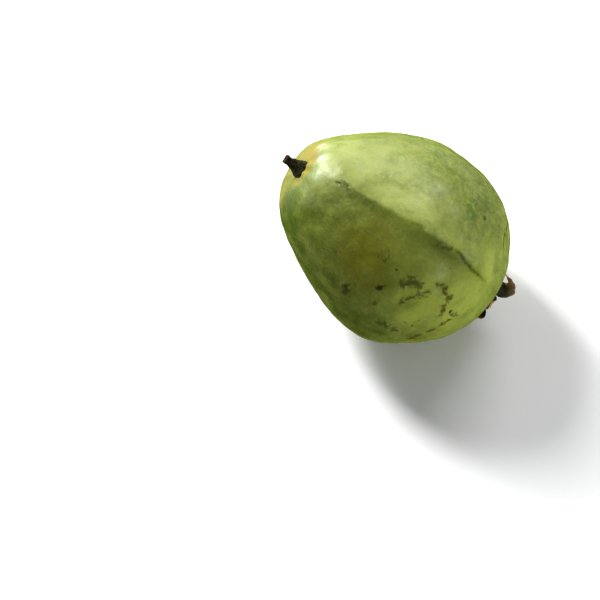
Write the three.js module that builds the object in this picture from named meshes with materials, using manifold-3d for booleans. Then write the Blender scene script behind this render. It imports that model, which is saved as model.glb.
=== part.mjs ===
// A common guava as it lies on its side: the fruit, with soft lengthwise ridges, the stub of its stem
// and its dried calyx. Millimetres, +Z up, with the origin in the middle of the flat resting spot.
//
// The fruit has an axis from its calyx to its stem. A place on it is given by two angles: along, from
// 0 at the stem end to 180 at the calyx end, and round, from 0 on the side that lies uppermost.

import * as THREE from 'three';
import { mergeVertices } from 'three/addons/utils/BufferGeometryUtils.js';
import Module from 'manifold-3d';

const { degToRad, lerp, smoothstep } = THREE.MathUtils;

// The fruit's half sizes, from its middle to the side, the stem end and the calyx end.
const BELLY_RADIUS = 33.9;
const STEM_REACH = 46.6;
const CALYX_REACH = 38.5;

// How far the two ends blend into each other, as the cosine of the angle along, and how much the
// shoulders of the stem end are drawn in.
const END_BLEND = 0.6;
const SHOULDER_SLIMMING = 0.054;

// The stem pit and the calyx basin: depth, and the angle along in which they fade out.
const PIT_DEPTH = 3.4;
const PIT_SPREAD = 11.5;
const BASIN_DEPTH = 1.8;
const BASIN_SPREAD = 15;

// Lengthwise ridges. Each is highest at the angle along and fades within the angle spread. The brow is
// the angle round that its crest takes up, a small one giving a sharp crest, and the flank is the angle
// round in which its side falls away.
const RIDGES = [
  { round: -20, height: 2.8, brow: 2.5, flank: 17, along: 88, spread: 55 },
  { round: 37, height: 1.1, brow: 6, flank: 20.6, along: 125, spread: 35 },
  { round: 111, height: 0.7, brow: 8, flank: 20.6, along: 125, spread: 35 },
  { round: 175, height: 0.5, brow: 9, flank: 20.6, along: 110, spread: 40 },
  { round: 247, height: 1.2, brow: 7, flank: 20.6, along: 105, spread: 40 },
];

// Broad swells and hollows that make the fruit a little lopsided.
const SWELLS = [
  { round: 63, along: 28, height: -2.8, spread: 15 },
  { round: 247, along: 25, height: -0.7, spread: 15 },
  { round: 247, along: 60, height: -1.5, spread: 20 },
  { round: 247, along: 104, height: 0.8, spread: 16 },
  { round: 180, along: 108, height: 1.0, spread: 22 },
];

// How the fruit lies: its axis rises by this angle to the stem end, which points to -X, and its middle
// stands this far above the flat resting spot and this far from it toward -X.
const AXIS_RISE = 34;
const MIDDLE_HEIGHT = 34.7;
const MIDDLE_ASIDE = 1.8;

// The fruit's grid. Rows lie closer together near the two ends, by this share.
const BODY_ROWS = 44;
const BODY_COLUMNS = 90;
const END_CROWDING = 0.35;

// The stem: a flared foot on the stem pit's floor, a waist and a cut tip, with four blunt corners. It
// stands a little aside from the axis. The flare and the taper are shares of its length.
const STEM_LENGTH = 7.4;
const STEM_ROOT = 1.5;
const STEM_ASIDE = new THREE.Vector2(1.6, -1.1);
const FOOT_RADIUS = 3.3;
const WAIST_RADIUS = 2.15;
const TIP_RADIUS = 1.5;
const FLARE_FROM = 0.03;
const FLARE_TO = 0.5;
const TAPER_FROM = 0.35;
const TAPER_TO = 0.85;
const STEM_CHAMFER = 0.25;
const STEM_CORNERS = 4;
const CORNER_ROUND = 19;
const CORNER_BULGE = 0.1;
const STEM_SIDES = 24;
const STEM_RINGS = 9;

// The calyx: a ring with a raised rim and a dished floor, and the remnant of the style in its middle.
const RING_RADIUS = 5.4;
const RING_ROOT = 1.5;
const RING_CHAMFER = 0.3;
const RIM_HEIGHT = 1.5;
const RIM_WIDTH = 1.2;
const RIM_BROW = 0.5;
const RIM_FALL = 0.7;
const FLOOR_HEIGHT = 0.3;
const STYLE_FOOT = 1.4;
const STYLE_RADIUS = 0.7;
const STYLE_TIP = 0.4;
const STYLE_HEIGHT = 2.6;
const RING_SIDES = 30;

// The five dried sepals. Each rises from the rim to its stand, arches outward to its reach and hangs
// back toward the skin. The lean carries its tip sideways, and the twist turns its face.
const SEPALS = [
  { round: 29, stand: 6.2, reach: 10.2, lean: -2.2, twist: 32, width: 5.6 },
  { round: 103, stand: 3.4, reach: 9.2, lean: 0.6, twist: -10, width: 5.4 },
  { round: 183, stand: 4.2, reach: 8.8, lean: -0.8, twist: 12, width: 5.2 },
  { round: 262, stand: 3.2, reach: 8.9, lean: 0, twist: 0, width: 5.4 },
  { round: 322, stand: 1.8, reach: 8.8, lean: 0, twist: 0, width: 5.2 },
];

// The course of a sepal's rib from its root: shares of the way out, of the stand and of the lean.
const RIB_COURSE = [
  { out: 0.1, up: 0.45, aside: 0 },
  { out: 0.35, up: 0.9, aside: 0.25 },
  { out: 0.7, up: 0.92, aside: 0.6 },
  { out: 0.93, up: 0.55, aside: 0.9 },
  { out: 1, up: 0.28, aside: 1 },
];

// A sepal is widest this far along, by a power, and these powers round its tip and thin its ends.
const SEPAL_FULLNESS = 0.65;
const SEPAL_ROUNDNESS = 0.7;
const SEPAL_THINNING = 0.4;
const SEPAL_THICKNESS = 1.0;
const SEPAL_CUP = 0.7;
const TWIST_DONE = 0.45;
const SEPAL_ROWS = 12;
const SEPAL_SIDES = 10;

// Clearance between a piece and the socket that it sits in, and the sides of a socket.
const SOCKET_GAP = 0.3;
const SOCKET_SIDES = 30;

// Points closer than this are one point.
const SAME_POINT = 1e-4;

// How far the shapes that cut the fruit reach past it.
const CUT_REACH = 20;
const CUT_SIDE = 100;

const wasm = await Module();
wasm.setup();

// Turns a closed geometry into a solid that can be joined and cut.
function toSolid(geometry) {
  const bare = geometry.clone();
  bare.deleteAttribute('normal');
  bare.deleteAttribute('uv');
  const merged = mergeVertices(bare, SAME_POINT);
  return new wasm.Manifold(new wasm.Mesh({
    numProp: 3,
    vertProperties: new Float32Array(merged.attributes.position.array),
    triVerts: new Uint32Array(merged.index.array),
  }));
}

// Turns a solid back into a geometry.
function toGeometry(solid) {
  const mesh = solid.getMesh();
  const geometry = new THREE.BufferGeometry();
  geometry.setAttribute('position', new THREE.BufferAttribute(mesh.vertProperties, 3));
  geometry.setIndex(new THREE.BufferAttribute(mesh.triVerts, 1));
  geometry.computeVertexNormals();
  return geometry;
}

// A closed skin round the Z axis: a sphere's grid, each point moved to place(along, round).
function closedSkin(rows, columns, place) {
  const skin = new THREE.SphereGeometry(1, columns, rows);
  skin.rotateX(Math.PI / 2);
  const positions = skin.attributes.position;
  const point = new THREE.Vector3();
  for (let i = 0; i < positions.count; i += 1) {
    point.fromBufferAttribute(positions, i);
    const along = Math.acos(THREE.MathUtils.clamp(point.z, -1, 1));
    const moved = place(along, Math.atan2(point.y, point.x));
    positions.setXYZ(i, moved.x, moved.y, moved.z);
  }
  return skin;
}

// The bell curve that a pit, a swell or a ridge's length follows.
function bell(distance, spread) {
  return Math.exp(-((distance / spread) ** 2));
}

// The smallest angle between two places round the axis.
function angleBetween(a, b) {
  const turn = Math.PI * 2;
  return ((((a - b + Math.PI) % turn) + turn) % turn) - Math.PI;
}

// The egg that the fruit is based on: an ellipse whose long half grows from the calyx end to the stem
// end, drawn in a little at the stem end's shoulders.
function eggRadius(along) {
  const c = Math.cos(along);
  const s = Math.sin(along);
  const endCurve = lerp(CALYX_REACH ** -2, STEM_REACH ** -2, smoothstep(c, -END_BLEND, END_BLEND));
  const egg = (c * c * endCurve + (s / BELLY_RADIUS) ** 2) ** -0.5;
  const shoulder = c > 0 ? (2 * s * c) ** 3 : 0;
  return egg * (1 - SHOULDER_SLIMMING * shoulder);
}

// How far one ridge lifts the skin: a rounded crest with flanks that fall away on both sides.
function ridgeLift(ridge, along, round) {
  const brow = degToRad(ridge.brow);
  const aside = angleBetween(round, degToRad(ridge.round));
  const crest = Math.exp((brow - Math.hypot(aside, brow)) / degToRad(ridge.flank));
  const length = bell(along - degToRad(ridge.along), degToRad(ridge.spread));
  return ridge.height * crest * length * Math.sin(along);
}

// How far one swell lifts the skin, by the angle between the place and the swell's middle.
function swellLift(swell, along, round) {
  const middle = degToRad(swell.along);
  const cosine = Math.cos(along) * Math.cos(middle)
    + Math.sin(along) * Math.sin(middle) * Math.cos(round - degToRad(swell.round));
  return swell.height * Math.exp((cosine - 1) * 2 / degToRad(swell.spread) ** 2);
}

// The distance from the fruit's middle to its skin.
function skinRadius(along, round) {
  let radius = eggRadius(along);
  for (const ridge of RIDGES) {
    radius += ridgeLift(ridge, along, round);
  }
  for (const swell of SWELLS) {
    radius += swellLift(swell, along, round);
  }
  radius -= PIT_DEPTH * bell(along, degToRad(PIT_SPREAD));
  radius -= BASIN_DEPTH * bell(Math.PI - along, degToRad(BASIN_SPREAD));
  return radius;
}

// The point of the skin at two angles, with rows crowded toward the ends.
function skinPoint(along, round) {
  const crowded = along - END_CROWDING * Math.sin(2 * along) / 2;
  const radius = skinRadius(crowded, round);
  const aside = radius * Math.sin(crowded);
  return new THREE.Vector3(
    aside * Math.cos(round),
    aside * Math.sin(round),
    radius * Math.cos(crowded),
  );
}

// A round plug of space along the axis or beside it, from one height to another.
function socket(radius, bottom, top, aside) {
  const plug = new THREE.CylinderGeometry(radius, radius, top - bottom, SOCKET_SIDES);
  plug.rotateX(Math.PI / 2);
  plug.translate(aside.x, aside.y, (bottom + top) / 2);
  return toSolid(plug);
}

// The heights of the stem's and the calyx's seats: where the axis meets the skin at the two ends.
const STEM_SEAT = skinRadius(0, 0);
const CALYX_SEAT = skinRadius(Math.PI, 0);

// The lying fruit's frame: tipped from upright until its axis rises by AXIS_RISE.
const fruit = new THREE.Group();
fruit.rotation.y = degToRad(AXIS_RISE - 90);
fruit.position.set(-MIDDLE_ASIDE, 0, MIDDLE_HEIGHT);
fruit.updateMatrix();

// The space below the surface that the fruit rests on, seen from the fruit's own frame.
function spaceBelow() {
  const slab = new THREE.BoxGeometry(CUT_SIDE, CUT_SIDE, CUT_REACH);
  slab.translate(0, 0, -CUT_REACH / 2);
  slab.applyMatrix4(fruit.matrix.clone().invert());
  return toSolid(slab);
}

// The fruit: its skin, less the two sockets and what the flat resting spot takes off.
function fruitBody() {
  const footSpace = FOOT_RADIUS * (1 + CORNER_BULGE) + SOCKET_GAP;
  const ringSpace = RING_RADIUS + SOCKET_GAP;
  const stemFloor = STEM_SEAT - STEM_ROOT - SOCKET_GAP;
  const calyxFloor = CALYX_SEAT - RING_ROOT - SOCKET_GAP;
  const onAxis = new THREE.Vector2(0, 0);
  const body = toSolid(closedSkin(BODY_ROWS, BODY_COLUMNS, skinPoint))
    .subtract(socket(footSpace, stemFloor, STEM_SEAT + CUT_REACH, STEM_ASIDE))
    .subtract(socket(ringSpace, -CALYX_SEAT - CUT_REACH, -calyxFloor, onAxis))
    .subtract(spaceBelow());
  return toGeometry(body);
}

// The stem's radius at a share of its length, before its corners are pressed.
function stemRadius(share) {
  const flare = (FOOT_RADIUS - WAIST_RADIUS) * (1 - smoothstep(share, FLARE_FROM, FLARE_TO));
  const taper = (TIP_RADIUS - WAIST_RADIUS) * smoothstep(share, TAPER_FROM, TAPER_TO);
  return WAIST_RADIUS + flare + taper;
}

// The stem stub, upright on the stem pit's floor: a turned profile pressed into four blunt corners.
function stemStub() {
  const profile = [
    new THREE.Vector2(0, -STEM_ROOT),
    new THREE.Vector2(FOOT_RADIUS - STEM_CHAMFER, -STEM_ROOT),
    new THREE.Vector2(FOOT_RADIUS, -STEM_ROOT + STEM_CHAMFER),
  ];
  for (let ring = 0; ring <= STEM_RINGS; ring += 1) {
    const height = (STEM_LENGTH - STEM_CHAMFER) * ring / STEM_RINGS;
    profile.push(new THREE.Vector2(stemRadius(height / STEM_LENGTH), height));
  }
  profile.push(new THREE.Vector2(TIP_RADIUS - STEM_CHAMFER, STEM_LENGTH));
  profile.push(new THREE.Vector2(0, STEM_LENGTH));
  const stub = new THREE.LatheGeometry(profile, STEM_SIDES);
  stub.rotateX(Math.PI / 2);
  const positions = stub.attributes.position;
  for (let i = 0; i < positions.count; i += 1) {
    const x = positions.getX(i);
    const y = positions.getY(i);
    const corner = Math.cos(STEM_CORNERS * (Math.atan2(y, x) - degToRad(CORNER_ROUND)));
    const swell = 1 + CORNER_BULGE * corner;
    positions.setXY(i, x * swell, y * swell);
  }
  return toGeometry(toSolid(stub));
}

// The calyx ring with its dished floor and the remnant of the style, standing on the basin's floor.
function calyxRing() {
  const inside = RING_RADIUS - RIM_WIDTH;
  const profile = [
    new THREE.Vector2(0, -RING_ROOT),
    new THREE.Vector2(RING_RADIUS - RING_CHAMFER, -RING_ROOT),
    new THREE.Vector2(RING_RADIUS, -RING_ROOT + RING_CHAMFER),
    new THREE.Vector2(RING_RADIUS, RIM_HEIGHT - RIM_BROW),
    new THREE.Vector2(RING_RADIUS - RIM_BROW, RIM_HEIGHT),
    new THREE.Vector2(inside, RIM_HEIGHT - RIM_BROW),
    new THREE.Vector2(inside - RIM_FALL, FLOOR_HEIGHT),
    new THREE.Vector2(STYLE_FOOT, FLOOR_HEIGHT * 2),
    new THREE.Vector2(STYLE_RADIUS, FLOOR_HEIGHT * 3),
    new THREE.Vector2(STYLE_TIP, STYLE_HEIGHT),
    new THREE.Vector2(0, STYLE_HEIGHT + STYLE_TIP / 2),
  ];
  const ring = new THREE.LatheGeometry(profile, RING_SIDES);
  ring.rotateX(Math.PI / 2);
  return toSolid(ring);
}

// The rib that runs through the middle of a sepal, from its root in the ring to its tip.
function sepalRib({ stand, reach, lean }) {
  const root = RING_RADIUS - RIM_WIDTH / 2;
  const points = [new THREE.Vector3(root, 0, -RING_ROOT / 2)];
  for (const { out, up, aside } of RIB_COURSE) {
    points.push(new THREE.Vector3(lerp(root, reach, out), lean * aside, stand * up));
  }
  return new THREE.CatmullRomCurve3(points);
}

// One sepal, a curved and cupped blade that is widest near its root and comes to a blunt point.
function sepal(shape) {
  const rib = sepalRib(shape);
  const sideways = new THREE.Vector3(0, 1, 0);
  const blade = closedSkin(SEPAL_ROWS, SEPAL_SIDES, (along, about) => {
    const share = along / Math.PI;
    const fullness = Math.sin(Math.PI * share ** SEPAL_FULLNESS) ** SEPAL_ROUNDNESS;
    const halfWidth = shape.width / 2 * fullness;
    const halfThickness = SEPAL_THICKNESS / 2 * Math.sin(along) ** SEPAL_THINNING;
    const tangent = rib.getTangentAt(share);
    const inward = new THREE.Vector3().crossVectors(tangent, sideways).normalize();
    const edgeward = new THREE.Vector3().crossVectors(inward, tangent);
    const turn = degToRad(shape.twist) * Math.min(share / TWIST_DONE, 1);
    inward.applyAxisAngle(tangent, turn);
    edgeward.applyAxisAngle(tangent, turn);
    const across = Math.sin(about);
    const cup = SEPAL_CUP * across ** 2 * fullness;
    return rib.getPointAt(share)
      .addScaledVector(edgeward, halfWidth * across)
      .addScaledVector(inward, halfThickness * Math.cos(about) + cup);
  });
  blade.rotateZ(-degToRad(shape.round));
  return toSolid(blade);
}

// The whole calyx, its outward side up.
function calyxCrown() {
  let crown = calyxRing();
  for (const shape of SEPALS) {
    crown = crown.add(sepal(shape));
  }
  return toGeometry(crown);
}

function namedMesh(name, geometry, colour, roughness) {
  const material = new THREE.MeshStandardMaterial({ color: colour, roughness, metalness: 0 });
  const mesh = new THREE.Mesh(geometry, material);
  mesh.name = name;
  return mesh;
}

const body = namedMesh('fruit_body', fruitBody(), 0x8f9f3e, 0.45);
const stem = namedMesh('stem', stemStub(), 0x2b2413, 0.85);
stem.position.set(STEM_ASIDE.x, STEM_ASIDE.y, STEM_SEAT);

// The calyx faces out of the other end, so it is turned over.
const calyx = namedMesh('calyx', calyxCrown(), 0x4a3624, 0.85);
calyx.rotation.x = Math.PI;
calyx.position.z = -CALYX_SEAT;

fruit.add(body, stem, calyx);

const guava = new THREE.Group();
guava.add(fruit);

export default guava;
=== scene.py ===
import math

import bpy
import numpy as np
from bpy.props import FloatProperty, FloatVectorProperty, IntProperty, PointerProperty
from mathutils import Matrix, Vector


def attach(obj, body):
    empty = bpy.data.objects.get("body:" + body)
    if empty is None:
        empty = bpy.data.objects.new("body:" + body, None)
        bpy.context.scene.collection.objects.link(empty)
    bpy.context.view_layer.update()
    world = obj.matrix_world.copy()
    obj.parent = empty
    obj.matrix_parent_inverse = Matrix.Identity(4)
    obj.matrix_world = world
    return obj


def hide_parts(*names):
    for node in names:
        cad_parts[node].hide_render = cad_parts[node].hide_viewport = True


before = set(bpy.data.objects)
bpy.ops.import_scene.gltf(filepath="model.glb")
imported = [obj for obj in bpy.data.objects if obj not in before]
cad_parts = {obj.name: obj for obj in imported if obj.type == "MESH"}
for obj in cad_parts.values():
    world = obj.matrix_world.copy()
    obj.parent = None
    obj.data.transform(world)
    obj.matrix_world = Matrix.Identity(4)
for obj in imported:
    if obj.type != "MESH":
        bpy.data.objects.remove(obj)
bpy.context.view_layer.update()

bl_info = {
    "name": "Common guava",
    "version": (1, 0, 0),
    "blender": (4, 5, 0),
    "location": "3D View > Sidebar > Guava",
    "description": "A whole common guava lying on its side, with its stem stub and dried calyx",
    "category": "Add Mesh",
}

# The fruit has an axis from its calyx to its stem. A place on it is given by two angles in degrees:
# along, from 0 at the stem end to 180 at the calyx end, and round, from 0 on the uppermost side.
# Lengths are in millimetres until a mesh is made.
MM = 0.001

# The form of the fruit, with the same values as its solid.
BELLY_RADIUS = 33.9
STEM_REACH = 46.6
CALYX_REACH = 38.5
END_BLEND = 0.6
SHOULDER_SLIMMING = 0.054
PIT_DEPTH = 3.4
PIT_SPREAD = 11.5
BASIN_DEPTH = 1.8
BASIN_SPREAD = 15

# Lengthwise ridges: round, height, brow of the crest, flank, along, spread.
RIDGES = (
    (-20, 2.8, 2.5, 17, 88, 55),
    (37, 1.1, 6, 20.6, 125, 35),
    (111, 0.7, 8, 20.6, 125, 35),
    (175, 0.5, 9, 20.6, 110, 40),
    (247, 1.2, 7, 20.6, 105, 40),
)

# Broad swells and hollows: round, along, height, spread.
SWELLS = (
    (63, 28, -2.8, 15),
    (247, 25, -0.7, 15),
    (247, 60, -1.5, 20),
    (247, 104, 0.8, 16),
    (180, 108, 1.0, 22),
)

# How the fruit lies on its flat spot.
AXIS_RISE = 34
MIDDLE_HEIGHT = 34.7
MIDDLE_ASIDE = 1.8
FRUIT_MIDDLE = np.array([-MIDDLE_ASIDE, 0, MIDDLE_HEIGHT])

# The stem stands a little aside from the axis.
STEM_ASIDE = (1.6, -1.1)

# The calyx ring and its sepals: round, stand above the skin, reach from the axis, lean of the tip to
# one side, twist of the face, and width.
RING_RADIUS = 5.4
SEPALS = (
    (29, 6.2, 10.2, -2.2, 32, 5.6),
    (103, 3.4, 9.2, 0.6, -10, 5.4),
    (183, 4.2, 8.8, -0.8, 12, 5.2),
    (262, 3.2, 8.9, 0, 0, 5.4),
    (322, 1.8, 8.8, 0, 0, 5.2),
)


def bell(distance, spread):
    """The bell curve e to the minus (distance over spread) squared."""
    return np.exp(-((distance / spread) ** 2))


def smooth_step(value, low, high):
    """Rises from 0 at low to 1 at high as 3t squared minus 2t cubed."""
    share = np.clip((value - low) / (high - low), 0, 1)
    return share * share * (3 - 2 * share)


def turn_between(one, other):
    """The signed angle from other to one round the axis, between minus pi and pi."""
    return (one - other + math.pi) % (2 * math.pi) - math.pi


def wave_noise(points, wavelength, seed, waves=28):
    """Soft noise: a sum of plane sine waves in seeded random directions, about -1 to 1."""
    draw = np.random.default_rng(seed)
    directions = draw.normal(size=(waves, 3))
    directions /= np.linalg.norm(directions, axis=1, keepdims=True)
    scale = 2 * math.pi / (wavelength * draw.uniform(0.7, 1.4, waves))
    phases = draw.uniform(0, 2 * math.pi, waves)
    total = np.zeros(points.shape[:-1])
    for direction, pace, phase in zip(directions, scale, phases):
        total += np.sin(points @ (direction * pace) + phase)
    return total * math.sqrt(2 / waves) / 1.6


def egg_radius(along):
    """An ellipse whose long half grows from the calyx end to the stem end, with drawn-in shoulders."""
    c, s = np.cos(along), np.sin(along)
    blend = smooth_step(c, -END_BLEND, END_BLEND)
    end_curve = CALYX_REACH ** -2 + (STEM_REACH ** -2 - CALYX_REACH ** -2) * blend
    egg = (c * c * end_curve + (s / BELLY_RADIUS) ** 2) ** -0.5
    shoulder = np.where(c > 0, np.abs(2 * s * c) ** 3, 0)
    return egg * (1 - SHOULDER_SLIMMING * shoulder)


def skin_radius(along, round_):
    """The egg, plus each ridge's crest times its bell along the fruit, plus the swells, less the pit
    and the basin at the two ends."""
    radius = egg_radius(along) + 0 * round_
    for at_round, height, brow, flank, at_along, spread in RIDGES:
        aside = turn_between(round_, math.radians(at_round))
        brow = math.radians(brow)
        crest = np.exp((brow - np.hypot(aside, brow)) / math.radians(flank))
        length = bell(along - math.radians(at_along), math.radians(spread)) * np.sin(along)
        radius += height * crest * length
    for at_round, at_along, height, spread in SWELLS:
        middle = math.radians(at_along)
        cosine = np.cos(along) * math.cos(middle)
        cosine = cosine + np.sin(along) * math.sin(middle) * np.cos(round_ - math.radians(at_round))
        radius += height * np.exp((cosine - 1) * 2 / math.radians(spread) ** 2)
    radius -= PIT_DEPTH * bell(along, math.radians(PIT_SPREAD))
    radius -= BASIN_DEPTH * bell(math.pi - along, math.radians(BASIN_SPREAD))
    return radius


def lay_down(points):
    """Moves points from the fruit's upright frame, with its axis on Z, to where the fruit lies: x, y
    and z become its uppermost side, its far side and the way to its stem."""
    rise = math.radians(AXIS_RISE)
    upper = (math.sin(rise), 0, math.cos(rise))
    far = (0, 1, 0)
    stemward = (-math.cos(rise), 0, math.sin(rise))
    return FRUIT_MIDDLE + points @ np.array([upper, far, stemward])


def polar_point(radius, along, round_):
    """Upright points at a radius from the middle: radius times the two angles' direction."""
    aside = radius * np.sin(along)
    return np.stack([aside * np.cos(round_), aside * np.sin(round_), radius * np.cos(along)], axis=-1)


def angle_grid(rows, columns, crowding=0.3):
    """Two grids of angles: along, in open rows that crowd toward the ends, and round."""
    share = np.arange(1, rows) / rows * math.pi
    along = share - crowding * np.sin(2 * share) / 2
    round_ = np.arange(columns) / columns * 2 * math.pi
    return np.meshgrid(along, round_, indexing="ij")


def capped_mesh(name, rings, first, last, attributes):
    """A closed mesh from rings of points, with one more point closing each end.

    rings is (rows, columns, 3) in millimetres in the fruit's lying frame, with the columns running
    round the first end against the clock as seen from outside it. attributes maps each name to its
    values on the rings and its values at first and at last."""
    rows, columns = rings.shape[:2]
    points = np.concatenate([rings.reshape(-1, 3), [first], [last]]) * MM
    index = np.arange(rows * columns).reshape(rows, columns)
    following = np.roll(index, -1, axis=1)
    quads = np.stack([index[:-1], index[1:], following[1:], following[:-1]], axis=-1).reshape(-1, 4)
    top, bottom = rows * columns, rows * columns + 1
    top_fan = np.stack([np.full(columns, top), index[0], following[0]], axis=-1)
    bottom_fan = np.stack([np.full(columns, bottom), following[-1], index[-1]], axis=-1)
    corners = np.concatenate([quads.ravel(), top_fan.ravel(), bottom_fan.ravel()])
    sizes = np.concatenate([np.full(len(quads), 4), np.full(2 * columns, 3)])
    starts = np.concatenate([[0], np.cumsum(sizes)[:-1]])

    mesh = bpy.data.meshes.new(name)
    mesh.vertices.add(len(points))
    mesh.vertices.foreach_set("co", points.astype(np.float32).ravel())
    mesh.loops.add(len(corners))
    mesh.loops.foreach_set("vertex_index", corners.astype(np.int32))
    mesh.polygons.add(len(sizes))
    mesh.polygons.foreach_set("loop_start", starts.astype(np.int32))
    mesh.polygons.foreach_set("use_smooth", np.ones(len(sizes), dtype=bool))
    mesh.update(calc_edges=True)
    mesh.validate()
    for key, (values, at_first, at_last) in attributes.items():
        layer = mesh.attributes.new(key, "FLOAT", "POINT")
        full = np.concatenate([np.asarray(values).ravel(), [at_first, at_last]])
        layer.data.foreach_set("value", full.astype(np.float32))
    piece = bpy.data.objects.new(name, mesh)
    bpy.context.scene.collection.objects.link(piece)
    return piece


def srgb(hex_colour):
    """An sRGB hex colour as linear red, green, blue and alpha."""
    parts = [int(hex_colour[i:i + 2], 16) / 255 for i in (1, 3, 5)]
    linear = [p / 12.92 if p <= 0.04045 else ((p + 0.055) / 1.055) ** 2.4 for p in parts]
    return (*linear, 1.0)


def node(tree, kind, settings, inputs, out=0):
    """Adds a node with its settings and its inputs, each a value or the output to link from, by label
    or number. Returns one of its outputs, also by label or number."""
    made = tree.nodes.new("ShaderNode" + kind)
    for key, value in settings.items():
        setattr(made, key, value)
    for key, value in inputs.items():
        if isinstance(value, bpy.types.NodeSocket):
            tree.links.new(value, made.inputs[key])
        else:
            made.inputs[key].default_value = value
    return made.outputs[out] if made.outputs else made


# How a tint rises over its pattern, how it lies on what is below, and the sums that are used.
EASE = {"interpolation_type": "SMOOTHSTEP"}
EVEN = {"interpolation_type": "LINEAR"}
OVER = {"data_type": "RGBA", "blend_type": "MIX"}
STAIN = {"data_type": "RGBA", "blend_type": "MULTIPLY"}
TIMES = {"operation": "MULTIPLY"}
TIMES_PLUS = {"operation": "MULTIPLY_ADD"}


def start_material(name, noises, kept=()):
    """An empty material and its patterns. A noise is its name, the size of its lumps in millimetres,
    detail, roughness and distortion, and kept names the values that the mesh holds. Returns the
    material, its node tree, the place on the object and the patterns by name."""
    material = bpy.data.materials.new(name)
    material.use_nodes = True
    tree = material.node_tree
    tree.nodes.clear()
    place = node(tree, "TexCoord", {}, {}, "Object")
    patterns = {}
    for key, size, detail, roughness, distortion in noises:
        patterns[key] = node(tree, "TexNoise", {}, {
            "Vector": place, "Scale": 1 / (size * MM), "Detail": detail,
            "Roughness": roughness, "Distortion": distortion,
        })
    for key in kept:
        patterns[key] = node(tree, "Attribute", {"attribute_name": key}, {}, "Fac")
    return material, tree, place, patterns


def lay_tints(tree, patterns, colour, tints):
    """Lays tints over a colour, one on another. A tint is its pattern, how it rises, the pattern's
    values where it begins and where it is full, its strength, its colour and how it lies."""
    for key, rise, begins, full, strength, over, lie in tints:
        share = node(tree, "MapRange", rise, {
            "Value": patterns[key], "From Min": begins, "From Max": full, "To Max": strength,
        })
        over = srgb(over) if isinstance(over, str) else over
        colour = node(tree, "Mix", lie, {0: share, 6: colour, 7: over}, 2)
    return colour


def finish_material(tree, patterns, colour, reliefs, surface):
    """Raises the reliefs one on another, each a pattern and its depth in millimetres, and joins them
    and the colour to the surface, with its other values."""
    normals = {}
    for key, depth in reliefs:
        normals = {"Normal": node(tree, "Bump", {}, {
            "Height": patterns[key], "Strength": 1.0, "Distance": depth * MM, **normals,
        })}
    if "Coat Weight" in surface:
        normals["Coat Normal"] = normals["Normal"]
    shader = node(tree, "BsdfPrincipled", {}, {"Base Color": colour, **normals, **surface})
    node(tree, "OutputMaterial", {}, {"Surface": shader})


# Marks on the skin, each a run of (along, round) places in degrees and a half width in millimetres.
# Scars are thin corky russet lines, bruises are soft dark smudges, and flecks are small round spots.
# The slit on the main ridge is also cut into the skin, and the streak is drawn twice so that it tapers.
# Further than the range from a mark, in millimetres, its distance is not kept.
MARK_RANGE = 6.0
SLIT = ((27.6, -20.8), (30.4, -18.4), (32.4, -18.4))
STREAK = ((98.4, -46), (95.6, -48.8), (94, -52.4), (92, -56.8))
SCARS = (
    (((100.4, -38), (104.4, -38.4), (108.8, -40.8), (112.4, -45.2), (114.4, -50), (116, -54.8)), 0.62),
    (((109.2, -42), (112.4, -41.4)), 0.5),
    (((119.5, -48.5), (122, -51.5), (126.8, -50.8)), 0.5),
    (((124.4, -57), (123.8, -61)), 0.75),
    (((122.6, -67), (121, -73)), 0.5),
    (((119.6, -78), (117.6, -84)), 0.7),
    (((129.8, 39.2), (129.4, 26.8), (128.4, 16), (129.2, 8.8)), 0.3),
    (((62, 118), (66, 121), (71, 119), (76, 124)), 0.4),
    (((118, 96), (121, 101), (127, 99)), 0.3),
    (((96, 168), (99, 172), (98, 178)), 0.35),
    (((52, 214), (57, 219), (63, 217)), 0.3),
)
BRUISES = (
    (((84.8, -49.2), (86, -45.6), (90.8, -45)), 1.5),
    (((64.4, -77.6), (68, -82)), 1.1),
    (((76.6, -60.4), (76.9, -60)), 1.1),
    (((81.8, -71), (82.4, -70.6)), 0.8),
    (((93.6, -80.4), (98.8, -81.6), (105.6, -80.4)), 1.1),
    (((86, -20.8), (92, -19.6)), 0.1),
    (((66, -44), (66.6, -43)), 0.7),
    (SLIT, 0.3),
    (STREAK[:3], 0.6),
    (STREAK, 0.35),
    (((92, -56.8), (91.6, -58)), 0.7),
    (((104, 142), (108, 146)), 1.8),
    (((74, 196), (76, 199)), 1.2),
)
FLECKS = (
    (106, 8.8, 0.75), (103.2, -70, 0.4), (108.8, -70.8, 0.4), (108.4, -65.2, 0.35), (107.6, -67.6, 0.3),
    (76.6, -60.4, 0.8), (64.4, -77.6, 0.5), (120, -50, 0.5), (95.5, 10, 0.3), (76, -45, 0.4),
    (99, -28, 0.3),
)

# The crease along the calyx half of the main ridge. Its middle stretch is wider than its ends.
GROOVE = ((93.2, -18.2), (98.4, -18.8), (104.4, -20.4), (110.4, -21.4), (117.2, -21.6), (126, -22))
CREASES = ((GROOVE[1:5], 0.35), (GROOVE, 0.0))

# Where the wax has kept its whitish bloom, and painted highlights: the pale collar round the stem pit
# and the pale patches just above the main ridge are painted highlights. Along, round, reach in
# millimetres and strength.
BLOOMS_AND_HIGHLIGHTS = (
    (13.2, 60, 1.9, 1.0), (14.6, 34, 1.9, 1.1), (15.6, 6, 1.9, 1.1), (17, -20, 2.2, 0.8),
    (20, -46, 5, 0.1),
    (71, 1, 4.5, 0.12), (75, 9, 4, 0.14), (66, -4, 3.5, 0.1), (92, -6, 3, 0.1), (85, 0, 3, 0.1),
    (94, -30, 2.4, 0.15), (98, -34, 2, 0.15), (102, -43, 1.4, 0.2), (30, 22, 13, 0.1),
    (70, 150, 7, 0.25), (110, 120, 5, 0.3), (60, -160, 5, 0.2), (120, 60, 5, 0.2),
)


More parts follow.
